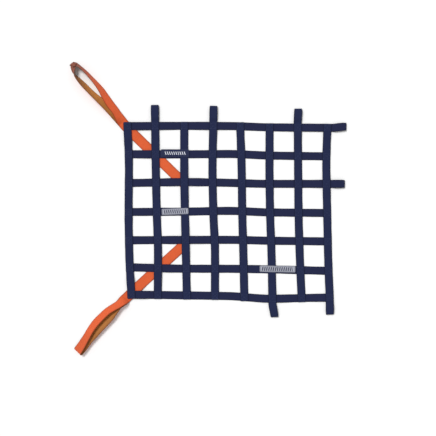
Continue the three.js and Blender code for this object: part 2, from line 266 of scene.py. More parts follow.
# %% [markdown]
# A band of webbing is a flat, closed section swept along a line. Real webbing has soft, rounded edges,
# so the section's sides are half rounds. Stations are set close together where the line bends sharply,
# as in the fold of a tab, and further apart where it runs straight. Towards a cut end the band gets a
# little thinner and narrower, as webbing does where its end is melted.

# %% Stations and section of a band
COARSE_STEP = 2.6  # between stations on a straight stretch
BEND_DETAIL = 4.0  # extra stations for each radian of bend
FLAT_POINTS = 8  # section points across each face
EDGE_POINTS = 3  # section points round each edge
# Distance from a cut end, share of the thickness there, share of the width there
CUT_END = [(0, 0.5, 0.86), (0.25, 0.8, 0.9), (0.6, 1.0, 0.94), (1.5, 1.0, 0.985), (3.0, 1.0, 1.0)]
CUT_END_ROOM = 1  # between the stations of a cut end and the next ones


def along_line(line):
    """Distance travelled at each point of a line."""
    return np.concatenate([[0], np.cumsum(np.linalg.norm(np.diff(line, axis=0), axis=1))])


def unit(vectors):
    """The same directions with length 1."""
    return vectors / np.linalg.norm(vectors, axis=-1, keepdims=True)


def bend_of(line, travelled):
    """How sharply a line bends at each of its points, in radians a millimetre."""
    ahead = unit(np.gradient(line, travelled, axis=0))
    return np.linalg.norm(np.gradient(ahead, travelled, axis=0), axis=1)


def station_places(line):
    """Distances along a finely drawn line at which the band gets a station."""
    travelled = along_line(line)
    density = 1 / COARSE_STEP + BEND_DETAIL * bend_of(line, travelled)
    count = np.concatenate([[0], np.cumsum((density[1:] + density[:-1]) / 2 * np.diff(travelled))])
    steps = np.linspace(0, count[-1], int(count[-1]) + 2)
    places = np.interp(steps, count, travelled)
    last = CUT_END[-1][0] + CUT_END_ROOM
    inner = places[(places > last) & (places < travelled[-1] - last)]
    ends = np.array([distance for distance, _, _ in CUT_END])
    return np.concatenate([ends, inner, travelled[-1] - ends[::-1]])


def section_of(width, thickness):
    """Points round the band's section, as (across, up), with half-round edges."""
    radius = thickness / 2
    flat = width / 2 - radius
    face = np.linspace(flat, -flat, FLAT_POINTS)
    turns = np.linspace(0, math.pi, EDGE_POINTS + 2)[1:-1]
    top = [(x, radius) for x in face]
    left = [(-flat - radius * math.sin(turn), radius * math.cos(turn)) for turn in turns]
    return np.array(top + left + [(-x, -y) for x, y in top] + [(-x, -y) for x, y in left])


print("points in one section:", len(section_of(NAVY_WIDTH, WEBBING_THICKNESS)))

# %% [markdown]
# The sweep itself sets one ring of the section at each station, joins the rings with faces and closes
# both ends. Each band also gets a UV map in metres, across and along, so that the weave follows the strap
# wherever it turns. A strap whose two faces differ in colour takes two materials.

# %% Sweep a band


def always(value):
    """The same value at every distance along a strap."""
    return lambda places: np.full(len(places), float(value))


def swept_points(line, sides, places, section, width, narrow, curl):
    """One ring of points at each place. It can't sink below the surface that the net lies on."""
    travelled = along_line(line)
    middle = np.stack([np.interp(places, travelled, line[:, k]) for k in range(3)], axis=1)
    side = np.stack([np.interp(places, travelled, sides[:, k]) for k in range(3)], axis=1)
    ahead = unit(np.gradient(middle, places, axis=0))
    side = unit(side - ahead * np.sum(side * ahead, axis=1, keepdims=True))
    out = np.cross(ahead, side)
    from_end = np.minimum(places, places[-1] - places)
    cut_distance, cut_height, cut_width = zip(*CUT_END)
    height_share = np.interp(from_end, cut_distance, cut_height)[:, None]
    width_share = (narrow(places) * np.interp(from_end, cut_distance, cut_width))[:, None]
    across, up = section.T
    lift = curl(places)[:, None] * (2 * across / width) ** 2
    offset_across = (across * width_share)[..., None]
    offset_up = (up * height_share + lift)[..., None]
    points = middle[:, None] + side[:, None] * offset_across + out[:, None] * offset_up
    points[..., 2] = np.maximum(points[..., 2], 0)
    return points.reshape(-1, 3)


def swept_faces(places, section, two_faced):
    """Faces between the rings, the UV pair of each face corner, and 1 for faces on the inner side."""
    ring = len(section)
    across, up = section.T
    faces, uvs, inner = [], [], []
    for i in range(len(places) - 1):
        low, high = places[i], places[i + 1]
        for k in range(ring):
            n = (k + 1) % ring
            faces.append((i * ring + k, i * ring + n, (i + 1) * ring + n, (i + 1) * ring + k))
            uvs += [(across[k], low), (across[n], low), (across[n], high), (across[k], high)]
            inner.append(int(two_faced and up[k] + up[n] < 0))
    last = (len(places) - 1) * ring
    faces.append(tuple(range(ring))[::-1])
    faces.append(tuple(range(last, last + ring)))
    uvs += [(x, 0) for x in across[::-1]] + [(x, places[-1]) for x in across]
    return faces, uvs, inner + [0, 0]


def add_object(name, vertices, faces, uvs, materials, face_materials):
    """A mesh object from vertices in millimetres; uvs hold one pair for each face corner."""
    mesh = bpy.data.meshes.new(name)
    mesh.from_pydata((vertices * MM).tolist(), [], faces)
    layer = mesh.uv_layers.new(name="weave")
    layer.data.foreach_set("uv", (np.asarray(uvs, float) * MM).ravel())
    for material in materials:
        mesh.materials.append(material)
    mesh.polygons.foreach_set("material_index", face_materials)
    mesh.polygons.foreach_set("use_smooth", [True] * len(faces))
    mesh.update()
    piece = bpy.data.objects.new(name, mesh)
    bpy.context.collection.objects.link(piece)
    return piece


def band(name, line, sides, size, materials, narrow=always(1), curl=always(0), darkened=None):
    """A band of webbing along a line; size is its width and thickness. By distance, narrow scales the width,
    curl lifts the edges and the last argument says how much darker the webbing is made, towards a loop's tip
    and as painted shade on its way back. Returns it and its length."""
    width, thickness = size
    places = station_places(line)
    section = section_of(width, thickness)
    points = swept_points(line, sides, places, section, width, narrow, curl)
    faces, uvs, inner = swept_faces(places, section, len(materials) > 1)
    piece = add_object(name, points, faces, uvs, materials, inner)
    # The darkening towards a loop's tip and the painted shade on its way back go on the mesh as an
    # attribute.
    if darkened is not None:
        tip_and_shade_darkening = piece.data.attributes.new("tip_and_shade_darkening", "FLOAT", "POINT")
        tip_and_shade_darkening.data.foreach_set("value", np.repeat(darkened(places), len(section)))
    return piece, float(places[-1])


print("stations along 100 mm:", len(station_places(np.linspace([0, 0, 0], [100, 0, 0], 201))))

# %% [markdown]
# Materials are trees of small nodes. A helper class keeps their building readable: each call adds one
# node, links it and returns its output.

# %% A helper for materials
FABRIC_SPECULAR = 0.12  # cloth hardly reflects


def srgb(red, green, blue):
    """A colour from 0-255 screen values, as the linear numbers that shaders take."""
    values = np.array([red, green, blue]) / 255
    linear = np.where(values <= 0.04045, values / 12.92, ((values + 0.055) / 1.055) ** 2.4)
    return (*linear.tolist(), 1.0)


def darker(colour, share):
    """The same colour at a share of its brightness."""
    return (*(channel * share for channel in colour[:3]), 1.0)


class Shader:
    """A node tree being built: each call adds one node and returns its output."""

    def __init__(self, name):
        self.material = bpy.data.materials.new(name)
        self.material.use_nodes = True
        self.tree = self.material.node_tree
        self.principled = self.tree.nodes["Principled BSDF"]

    def put(self, value, socket):
        """Links an output to the socket, or sets a plain value on it."""
        if isinstance(value, bpy.types.NodeSocket):
            self.tree.links.new(value, socket)
        else:
            socket.default_value = value

    def math(self, operation, *values):
        node = self.tree.nodes.new("ShaderNodeMath")
        node.operation = operation
        for value, socket in zip(values, node.inputs):
            self.put(value, socket)
        return node.outputs[0]

    def mix(self, share, first, second):
        node = self.tree.nodes.new("ShaderNodeMix")
        node.data_type = "RGBA"
        self.put(share, node.inputs["Factor"])
        self.put(first, node.inputs["A"])
        self.put(second, node.inputs["B"])
        return next(output for output in node.outputs if output.type == "RGBA")

    def noise(self, scale, detail):
        coordinates = self.tree.nodes.new("ShaderNodeTexCoord")
        node = self.tree.nodes.new("ShaderNodeTexNoise")
        node.inputs["Scale"].default_value = scale
        node.inputs["Detail"].default_value = detail
        self.tree.links.new(coordinates.outputs["Object"], node.inputs["Vector"])
        return node.outputs["Fac"]

    def uv(self):
        """Distance across a band from its middle, and along it, in metres."""
        coordinates = self.tree.nodes.new("ShaderNodeUVMap")
        coordinates.uv_map = "weave"
        parts = self.tree.nodes.new("ShaderNodeSeparateXYZ")
        self.tree.links.new(coordinates.outputs["UV"], parts.inputs[0])
        return parts.outputs["X"], parts.outputs["Y"]

    def attribute(self, name):
        node = self.tree.nodes.new("ShaderNodeAttribute")
        node.attribute_name = name
        return node.outputs["Fac"]

    def bump(self, height, distance, strength):
        node = self.tree.nodes.new("ShaderNodeBump")
        node.inputs["Strength"].default_value = strength
        node.inputs["Distance"].default_value = distance
        self.tree.links.new(height, node.inputs["Height"])
        self.tree.links.new(node.outputs["Normal"], self.principled.inputs["Normal"])

    def finish(self, colour, roughness, sheen):
        """Sets the surface itself and returns the material."""
        self.put(colour, self.principled.inputs["Base Color"])
        self.put(roughness, self.principled.inputs["Roughness"])
        self.principled.inputs["Sheen Weight"].default_value = sheen
        self.principled.inputs["Specular IOR Level"].default_value = FABRIC_SPECULAR
        return self.material


print("linear value of mid grey:", round(srgb(128, 128, 128)[0], 3))

# %% [markdown]
# Woven webbing shows fine columns along the strap, each made of short bars of yarn, and every second column
# is set half a bar along. We draw that in the material, from the UV map: two sine waves give the height for
# the bump, and the grooves are painted a little darker than the yarn, as painted shade. Slow noise in object
# space makes the dye slightly uneven. The woven edge is painted darker too, partly as painted shade where it
# turns away from the light and partly as dirt that it holds.

# %% The weave
BAR_LENGTH = 0.0017  # one bar of yarn along the strap, in metres
COLUMN_WIDTH = 0.0013
WEAVE_DEPTH = 0.00022
WEAVE_RELIEF = 0.8  # strength of the bump
WEBBING_SHEEN = 0.03
# The darker grooves are painted shade in the hollows of the weave.
GROOVE_PAINTED_SHADE = 0.45  # share of the yarn's own colour in a groove
YARN_LIGHT = (0.25, 0.75)  # what is added to that on the yarn, from the dullest dye to the freshest
DYE_NOISE = (28, 3)  # scale and detail
FUZZ_NOISE = (900, 2)
FUZZ = 0.3  # how much loose fibres change the share
# The darker woven edges are partly painted shade, where the edge turns away from the light, and partly dirt.
EDGE_FALLOFF = 9  # how sharply the darkening rises towards a woven edge
EDGE_SHADE_AND_DIRT = 0.9


def weave_height(shader, across, along, column_width, bar_length):
    """Height of a weave of staggered bars, from 0 in the grooves to 1 on the yarn."""
    column = shader.math("DIVIDE", across, column_width)
    shift = shader.math("MULTIPLY", shader.math("FLOOR", column), 0.5)
    bar = shader.math("ADD", shader.math("DIVIDE", along, bar_length), shift)
    over = shader.math("ABSOLUTE", shader.math("SINE", shader.math("MULTIPLY", column, math.pi)))
    length = shader.math("ABSOLUTE", shader.math("SINE", shader.math("MULTIPLY", bar, math.pi)))
    return shader.math("SQRT", shader.math("MULTIPLY", over, length))


def yarn_share(shader, across, height, width):
    """Share of the yarn's own colour: less in the grooves, as painted shade, and least at the woven edges,
    as painted shade and dirt.
    """
    edge_distance = shader.math("DIVIDE", shader.math("ABSOLUTE", across), width * MM / 2)
    edge = shader.math("POWER", edge_distance, EDGE_FALLOFF)
    dullest, freshest = YARN_LIGHT
    dye = shader.math("MULTIPLY_ADD", shader.noise(*DYE_NOISE), freshest - dullest, dullest)
    fuzz = shader.math("MULTIPLY_ADD", shader.noise(*FUZZ_NOISE), FUZZ, -FUZZ / 2)
    # Painted shade: the grooves keep less of the yarn's colour.
    share = shader.math("ADD", shader.math("MULTIPLY", height, dye), GROOVE_PAINTED_SHADE)
    share = shader.math("ADD", share, fuzz)
    # The edges get darker still: partly painted shade, partly dirt.
    share = shader.math("SUBTRACT", share, shader.math("MULTIPLY", edge, EDGE_SHADE_AND_DIRT))
    return shader.math("MINIMUM", shader.math("MAXIMUM", share, 0.0), 1.0)


def webbing_material(name, light, dark, width, roughness, tip_and_shade_dark=None, painted_edge_shade=0.0):
    """Woven webbing: light is the yarn's colour and dark the colour in the grooves and at the edges, painted
    shade there, with dirt at the edges. The third colour is for the darkening towards a loop's tip and the
    painted shade on its way back, laid on where the mesh attribute is 1. The last argument is the share of
    dark painted in as shade towards the raised edge."""
    shader = Shader(name)
    across, along = shader.uv()
    height = weave_height(shader, across, along, COLUMN_WIDTH, BAR_LENGTH)
    colour = shader.mix(yarn_share(shader, across, height, width), dark, light)
    # Painted shade: the colour turns towards dark across the band, most at its raised edge.
    if painted_edge_shade > 0:
        towards_shaded_edge = shader.math("MULTIPLY_ADD", across, 1 / (width * MM), 0.5)
        colour = shader.mix(shader.math("MULTIPLY", towards_shaded_edge, painted_edge_shade), colour, dark)
    # Darker towards a loop's tip, and painted shade on the lower loop's way back.
    if tip_and_shade_dark is not None:
        colour = shader.mix(shader.attribute("tip_and_shade_darkening"), colour, tip_and_shade_dark)
    shader.bump(height, WEAVE_DEPTH, WEAVE_RELIEF)
    return shader.finish(colour, roughness, WEBBING_SHEEN)


print("columns of yarn across a navy strap:", round(NAVY_WIDTH * MM / COLUMN_WIDTH))

# %% [markdown]
# The net uses four finishes of webbing. The upright and the cross straps come from the same roll, but the
# uprights catch a little more light, so they get their own tone. The orange straps are orange on one face
# and ochre on the other. Both faces can be made darker towards a loop's tip, and with painted shade on the
# lower loop's way back, and the ochre face gets painted shade towards its raised edge.

# %% Webbing materials
# Colour of the darkening towards a loop's tip, and of the painted shade on the lower loop's way back.
TIP_AND_SHADE_DARK = srgb(112, 72, 60)
navy_upright = webbing_material("navy_upright_webbing", srgb(35, 43, 78), srgb(20, 25, 48),
                                NAVY_WIDTH, roughness=0.8)
navy_cross = webbing_material("navy_cross_webbing", srgb(36, 41, 75), srgb(20, 24, 46),
                              NAVY_WIDTH, roughness=0.8)
orange_face = webbing_material("orange_webbing_face", srgb(236, 104, 58), srgb(137, 57, 33),
                               ORANGE_WIDTH, roughness=0.7, tip_and_shade_dark=TIP_AND_SHADE_DARK)
# The ochre face gets painted shade towards its raised edge.
ochre_face = webbing_material("ochre_webbing_back", srgb(250, 172, 88), srgb(120, 68, 36),
                              ORANGE_WIDTH, roughness=0.75, tip_and_shade_dark=TIP_AND_SHADE_DARK, painted_edge_shade=0.6)
print("webbing materials:", [face.name for face in (navy_upright, navy_cross, orange_face, ochre_face)])

# %% [markdown]
# Now the straps themselves. A maker cuts each one to length, lays the cross straps down first, and sews
# the upright ones over them. Where a strap ends in a tab, it goes on past the border, folds over, and runs
# back under the border, where the same sewing catches it. So we need the path of a strap: its place on
# its length, its height, and how far a tab's tip is pulled aside.

# %% Paths of the navy straps
# Tab loops: end of the strap, reach past the border strap's outer edge, sideways shift of the tip
UPRIGHT_TABS = {2: ("end", 41.1, 0), 4: ("end", 38.7, 0), 7: ("end", 35.9, 1.5),
                6: ("start", 34.7, 4.1), 8: ("start", 31.2, -1.0)}
CROSS_TABS = {1: ("end", 36.5, 3.0), 3: ("end", 34.5, 0)}
TAB_CLEARANCE = 4.7  # height of the opening through a tab
TAB_RISE = 12  # length over which a strap rises to the top of its tab
TAB_RUN_UNDER = 17.5  # how far the fold runs back under the border strap
END_MARGIN = 9.8  # how far a plain end goes past the middle of the border strap

DRAW_STEP = 0.5  # how finely a path is drawn before its stations are chosen
RISE_DRAW_STEPS = 24
TOP_DRAW_STEPS = 29
FOLD_DRAW_STEPS = 24
UNDER_DRAW_STEPS = 59


def tab_profile(reach, start_height):
    """Side view of a tab loop: distance past the border strap's outer edge, and height of its middle."""
    half = WEBBING_THICKNESS / 2
    radius = (TAB_CLEARANCE + WEBBING_THICKNESS) / 2
    centre = reach - radius - half
    top = half + 2 * radius
    rise = np.linspace(0, TAB_RISE, RISE_DRAW_STEPS + 1)[1:]
    heights = start_height + half + (top - half - start_height) * ease(rise / TAB_RISE)
    turns = np.linspace(0, math.pi, FOLD_DRAW_STEPS + 1)
    over = np.linspace(TAB_RISE, centre, TOP_DRAW_STEPS + 1)[1:-1]
    under = np.linspace(centre, -TAB_RUN_UNDER, UNDER_DRAW_STEPS + 1)[1:]
    distance = np.concatenate([rise, over, centre + radius * np.sin(turns), under])
    height = np.concatenate([heights, np.full(len(over), top), half + radius * (1 + np.cos(turns)),
                             np.full(len(under), half)])
    return distance, height


def strap_rows(supports, sag, borders, tab):
    """A strap's path from one end to the other: place on its length, height of its middle, side shift."""
    low, high = borders
    at = np.append(np.arange(low, high, DRAW_STEP), high)
    height = np.array([height_on(supports, place, sag) for place in at]) + WEBBING_THICKNESS / 2
    shift = np.zeros(len(at))
    if tab is None:
        return at, height, shift
    end, reach, tip_shift = tab
    border = high if end == "end" else low
    sign = 1 if end == "end" else -1
    distance, tab_height = tab_profile(reach, height_on(supports, border, 0))
    rows = (border + sign * distance, tab_height, tip_shift * ease(distance / reach))
    if end == "end":
        return tuple(np.concatenate(pair) for pair in zip((at, height, shift), rows))
    return tuple(np.concatenate([new[::-1], old]) for old, new in zip((at, height, shift), rows))


def upright_path(number, tab):
    """Middle line and width direction of an upright strap, from the bottom up."""
    centre = upright_x[number - 1]
    margins = [NAVY_WIDTH / 2 if tab and tab[0] == end else END_MARGIN for end in ("start", "end")]
    low = crossing(number, len(CROSS_STRAPS))[1] - margins[0]
    high = crossing(number, 1)[1] + margins[1]
    at, height, shift = strap_rows(upright_supports(number), SAG, (low, high), tab)
    line = np.stack([centre(at) + shift, at, height], axis=1)
    sides = np.stack([-np.ones(len(at)), centre(at + 1) - centre(at), np.zeros(len(at))], axis=1)
    return line, sides


def cross_path(number, tab):
    """Middle line and width direction of a cross strap, from left to right."""
    centre = cross_y[number - 1]
    low = crossing(1, number)[0] - END_MARGIN
    high = crossing(len(UPRIGHTS), number)[0] + (NAVY_WIDTH / 2 if tab else END_MARGIN)
    at, height, shift = strap_rows(cross_supports(number), 0, (low, high), tab)
    line = np.stack([at, centre(at) + shift, height], axis=1)
    sides = np.stack([centre(at) - centre(at + 1), np.ones(len(at)), np.zeros(len(at))], axis=1)
    return line, sides


print("points in the path of upright strap 1:", len(upright_path(1, None)[0]))

# %% [markdown]
# No strap is quite even. Its width wavers slowly, its edges stand up a little here and there, and it
# draws in where it folds sharply. Each of these is a function of the distance along the strap. The
# random numbers are seeded, so no two straps look alike and the script still gives the same net each time.

# %% Unevenness
SEED = 7
WAVES = 4
WAVE_LENGTHS = (30, 110)  # in millimetres
WAVE_SIZES = (0.3, 1)
EDGE_WAVER = 0.03  # share by which a strap's width wavers
EDGE_CURL = 0.35  # how high a strap's edges stand up at most
CURL_GAIN = 40  # how soon they do, where the strap is at its widest
FOLD_NARROWING = 0.08  # share by which webbing draws in at a sharp fold
FOLD_RADIUS = 3  # a bend of this radius or less is a sharp fold
FOLD_REACH = 6  # distance over which the drawing in fades out
random = np.random.default_rng(SEED)


def waver():
    """A slow, small change of width along a strap, as a share of its width."""
    waves = [(random.uniform(*WAVE_LENGTHS), random.uniform(0, 2 * math.pi), random.uniform(*WAVE_SIZES))
             for _ in range(WAVES)]

    def narrow(places):
        total = sum(size * np.sin(2 * math.pi * places / wave + start) for wave, start, size in waves)
        return 1 - EDGE_WAVER / 2 + EDGE_WAVER / WAVES * total

    return narrow


def with_fold(narrow, line):
    """Adds the drawing in of the webbing where the line folds back on itself."""
    travelled = along_line(line)
    folded = np.minimum(bend_of(line, travelled) * FOLD_RADIUS, 1)
    reach = int(FOLD_REACH / DRAW_STEP)
    softened = np.convolve(folded, np.hanning(2 * reach + 1) / reach, mode="same")
    share = 1 - FOLD_NARROWING * np.minimum(softened, 1)
    return lambda places: narrow(places) * np.interp(places, travelled, share)


def edge_curl():
    """How far the edges of a strap stand up, by distance."""
    wave = waver()
    return lambda places: EDGE_CURL * np.clip((wave(places) - 1) * CURL_GAIN, 0, 1)


print("seed for the unevenness:", SEED)

# %% [markdown]
# With the paths and the unevenness at hand, all fifteen navy straps come from one short function. Each one
# replaces its solid and rides on the net's only body. A plain upright strap is sewn under tension, a plain
# cross strap is laid down, and one with a tab is folded.

# %% The navy straps


def navy_strap(name, node, path, material):
    """One navy strap, in place of its solid. Returns its length in millimetres."""
    line, sides = path
    narrow = with_fold(waver(), line)
    size = (NAVY_WIDTH, WEBBING_THICKNESS)
    piece, length = band(name, line, sides, size, [material], narrow, edge_curl())
    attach(piece, "root")
    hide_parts(node)
    print(name, round(length), "mm long")
    return length


navy_length = 0
for number in range(1, len(UPRIGHTS) + 1):
    tab = UPRIGHT_TABS.get(number)
    name = f"upright_webbing_{number}"
    path = upright_path(number, tab)
    navy_length += navy_strap(name, f"upright_strap_{number}", path, navy_upright)
for number in range(1, len(CROSS_STRAPS) + 1):
    tab = CROSS_TABS.get(number)
    name = f"cross_webbing_{number}"
    path = cross_path(number, tab)
    navy_length += navy_strap(name, f"cross_strap_{number}", path, navy_cross)
print("navy webbing in all:", round(navy_length * MM, 2), "m")

# %% [markdown]
# The orange straps are one piece of webbing each, sewn under the corner, taken out in a long loop that
# stands partly on its edge, and brought back under the same corner. A cloth simulation could drape such a
# loop, but it wouldn't land where the real one lies. Webbing on its edge twists as it leaves the flat, so
# the tables give the strap's roll as well as its place.

# %% Tables of the orange straps
ORANGE_THICKNESS = 1.2  # a little thinner than its solid, so that its two legs stay clear of each other

# The part under the net is a row of points. The axis is its start and its heading in degrees. The rows of
# a loop are: along the axis, across it, lift of the lower edge, roll in degrees, and the way the upper
# edge leans, where 0 is to the left of the way out and 90 is back towards the net.
UPPER_UNDER_NET = [(-104.5, 64.6), (-139.5, 98.9), (-210.0, 167.9)]
UPPER_AXIS = ((-248.8, 212.6), 131.6)
UPPER_LOOP = [
    (-30, -2.7, 1.7, 0, 0), (7, -3.9, 1.7, 0, 0), (15, -2.9, 2.5, 13, 0), (25, -1.0, 2.6, 31, 0),
    (40, 1.9, 1.6, 42, 0), (60, 3.3, 0.8, 41, 0), (81, 6.4, 0.4, 47, 0), (101, 10.0, 0.2, 57, 0),
    (121, 11.3, 0, 66, 0), (141, 11.2, 0, 71, 0), (160, 10.6, 0, 74, 0), (174, 8.9, 0, 75, 5),
    (183, 6.4, 0, 70, 30), (188.6, 3.0, 0, 60, 62), (191, 0, 0, 54, 86), (188, -3.9, 0, 55, 110),
    (183, -6.8, 0, 61, 138), (177, -10.8, 0, 74, 162), (170, -13.6, 0, 94, 178),
    (162, -14.1, 0, 106, 180), (150, -14.0, 0, 114, 180), (136, -13.5, 0, 119, 180),
    (118, -12.6, 0, 120, 180), (101, -11.2, 0, 123, 180), (81, -8.8, 0, 132, 180),
    (60, -6.2, 0, 143, 180), (40, -4.6, 0, 157, 180), (26, -3.9, 0, 171, 180), (14, -4.0, 0, 180, 180),
    (-26, -3.0, 0, 180, 180),
]
LOWER_UNDER_NET = [(-106.7, -79.9), (-137.1, -107.6), (-203.9, -168.4)]
LOWER_AXIS = ((-246.4, -210.2), 229.3)
LOWER_LOOP = [
    (-38, -2.6, 1.7, 0, 0), (1, 1.4, 1.7, 0, 0), (8, 2.5, 3.3, 16, 0), (15, 3.5, 3.2, 35, 0),
    (24, 5.4, 2.8, 43, 0), (38, 10.2, 2.2, 47, 0), (53, 14.8, 1.5, 49, 0), (73, 17.3, 1.0, 48, 0),
    (95, 18.4, 1.0, 46, 0), (114, 16.8, 1.5, 47, 0), (135, 12.8, 3.5, 45, 0), (154, 9.4, 6.0, 38, 0),
    (165, 7.8, 7.0, 33, 0), (171.6, 7.2, 7.0, 30, 0), (174.6, 6.6, 6.0, 30, 0), (175.8, 5.1, 3.5, 30, 0),
    (174.6, 3.6, 1.0, 30, 0), (171.6, 3.0, 0, 29, 0), (158, 3.4, 0, 28, 0), (140, 4.6, 0, 29, 0),
    (118, 4.0, 0, 30, 0), (80, 2.6, 0, 31, 0), (60, 1.6, 0, 33, 0), (40, 3.6, 0, 36, 0),
    (26, 4.5, 0, 35, 0), (18, 3.4, 0, 26, 0), (11, 2.5, 0, 9, 0), (4, 1.7, 0, 0, 0),
    (-33, -2.0, 0, 0, 0),
]
print("rows of the loops:", len(UPPER_LOOP), "and", len(LOWER_LOOP))

# %% [markdown]
# A row's roll says how far the strap's width has turned from level. The strap is lifted by as much as its
# turned width needs, so that its lower edge stands on the surface and doesn't cut through it.

# %% Path of an orange strap


def orange_rows(under_net, start, along, across, loop):
    """Rows of x, y, height of the middle, roll and lean, in millimetres and radians."""
    half_width, half_thickness = ORANGE_WIDTH / 2, WEBBING_THICKNESS / 2
    rows = [(x, y, half_thickness, 0, 0) for x, y in under_net]
    for distance, offset, lift, roll, lean in loop:
        x, y = np.array(start) + along * distance + across * offset
        turn = math.radians(roll)
        height = lift + half_width * math.sin(turn) + half_thickness * abs(math.cos(turn))
        rows.append((x, y, height, turn, math.radians(lean)))
    return np.array(rows)


def on_surface(line, sides):
    """Lifts the line where the turned width would reach below the surface."""
    level = np.hypot(sides[:, 0], sides[:, 1])
    needed = ORANGE_WIDTH / 2 * np.abs(sides[:, 2]) + WEBBING_THICKNESS / 2 * level
    line[:, 2] = np.maximum(line[:, 2], needed)
    return line


def orange_path(under_net, axis, loop):
    """The strap's middle line and width direction, finely drawn."""
    start, heading = axis
    heading = math.radians(heading)
    along = np.array([math.cos(heading), math.sin(heading)])
    across = np.array([along[1], -along[0]])
    rows = orange_rows(under_net, start, along, across, loop)
    travelled = along_line(rows[:, :3])
    places = np.arange(0, travelled[-1], DRAW_STEP)
    x, y, height, roll, way = (smooth_through(travelled, rows[:, k])(places) for k in range(5))
    level_way = across * np.cos(way)[:, None] + along * np.sin(way)[:, None]
    line = np.stack([x, y, height], axis=1)
    sides = np.concatenate([-level_way * np.cos(roll)[:, None], np.sin(roll)[:, None]], axis=1)
    tangent = unit(np.gradient(line, along_line(line), axis=0))
    sides = unit(sides - tangent * np.sum(sides * tangent, axis=1, keepdims=True))
    return on_surface(line, sides), sides


print("points in the upper path:", len(orange_path(UPPER_UNDER_NET, UPPER_AXIS, UPPER_LOOP)[0]))

# %% [markdown]
# The webbing is made darker towards the far end of each loop. On the way back of the lower loop it is darker
# too: that is painted shade, where the raised outer leg overhangs it. The darkening is written on the mesh
# as an attribute, which the webbing materials read. The face that was outside on the roll is orange, and the
# inner face shows as a browner ochre.

# %% The orange straps
DARKENING_REACH = 50  # in millimetres along the strap


def loop_darkening(line, at_tip, on_return):
    """Darkening that grows towards the far end of the loop, and goes on along the way back as painted shade.
    """
    travelled = along_line(line)
    tip = travelled[np.argmax(np.hypot(line[:, 0], line[:, 1]))]

    def darkened(places):
        near_tip = at_tip * np.exp(-(((places - tip) / DARKENING_REACH) ** 2))
        return np.maximum(near_tip, on_return * ease((places - tip) / DARKENING_REACH))

    return darkened


# Each strap's tables, how much darker it is made at its tip, and the painted shade on its way back
for name, under_net, axis, loop, at_tip, on_return in [
    ("upper", UPPER_UNDER_NET, UPPER_AXIS, UPPER_LOOP, 0.85, 0.0),
    ("lower", LOWER_UNDER_NET, LOWER_AXIS, LOWER_LOOP, 0.15, 0.2),
]:
    line, sides = orange_path(under_net, axis, loop)
    piece, length = band(f"orange_webbing_{name}", line, sides, (ORANGE_WIDTH, ORANGE_THICKNESS),
                         [orange_face, ochre_face], darkened=loop_darkening(line, at_tip, on_return))
    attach(piece, "root")
    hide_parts(f"orange_strap_{name}")
    print(piece.name, round(length), "mm long")

# %% [markdown]
# Three small woven patches are sewn on top. On a real net they would carry words, so here each holds
# only a plain row of woven bars, and the silver ones a line round it. The bars could be thin pieces of
# their own, but on a woven patch they are part of the weave, so they are drawn in the material.

# %% Materials of the patches
# Cross strap, upright strap that it climbs over, middle x and y, length, width, tilt in degrees
PATCHES = {
    "patch_navy": (2, 3, -129.8, 141.5, 68, 19, 0),
    "patch_silver_middle": (4, 3, -129.5, 0, 64, 14.5, 2.3),
    "patch_silver_lower": (6, 6, 119.2, -139.7, 86, 15, -1),
}
# Bars: first and last place along the patch, pitch, width of a bar, half of its height, slant
NAVY_BARS = (8, 61, 5.2, 1.9, 3.8, 0.35)
MIDDLE_BARS = (5, 59, 5.1, 2.9, 4.4, 0.2)
LOWER_BARS = (5, 81, 5.3, 3.2, 4.7, -0.2)
OUTLINE_INSET = 1.2  # from the patch's edge
OUTLINE_WIDTH = 0.7

PATCH_COLUMN_WIDTH = 0.0006  # in metres
PATCH_BAR_LENGTH = 0.0009
PATCH_WEAVE_DEPTH = 0.0001
PATCH_RELIEF = 0.6
PATCH_SHEEN = 0.05
INK_COVER = (0.75, 1.0)  # share of the ink's colour in the grooves and on the yarn
GROUND_NOISE = (60, 3)
GROUND_CHANGE = (0.5, -0.1)  # the noise times the first plus the second is the share of the shade
GROUND_SHADE = 0.7  # brightness of the shade, against the ground


def within(shader, value, low, high):
    """1 where the value lies between two limits, else 0."""
    above = shader.math("GREATER_THAN", value, low)
    below = shader.math("LESS_THAN", value, high)
    return shader.math("MULTIPLY", above, below)


def bar_row(shader, across, along, bars):
    """1 on the bars of a patch, else 0."""
    first, last, pitch, bar_width, half_height = (value * MM for value in bars[:-1])
    leaning = shader.math("ADD", along, shader.math("MULTIPLY", across, bars[-1]))
    phase = shader.math("FRACT", shader.math("DIVIDE", leaning, pitch))
    pattern = shader.math("LESS_THAN", phase, bar_width / pitch)
    pattern = shader.math("MULTIPLY", pattern, within(shader, along, first, last))
    return shader.math("MULTIPLY", pattern, within(shader, across, -half_height, half_height))


def outline(shader, across, along, length, width):
    """1 on a thin line just inside the edge of a patch, else 0."""
    from_side = shader.math("SUBTRACT", width * MM / 2, shader.math("ABSOLUTE", across))
    half = length * MM / 2
    from_middle = shader.math("ABSOLUTE", shader.math("SUBTRACT", along, half))
    nearest = shader.math("MINIMUM", from_side, shader.math("SUBTRACT", half, from_middle))
    return within(shader, nearest, OUTLINE_INSET * MM, (OUTLINE_INSET + OUTLINE_WIDTH) * MM)


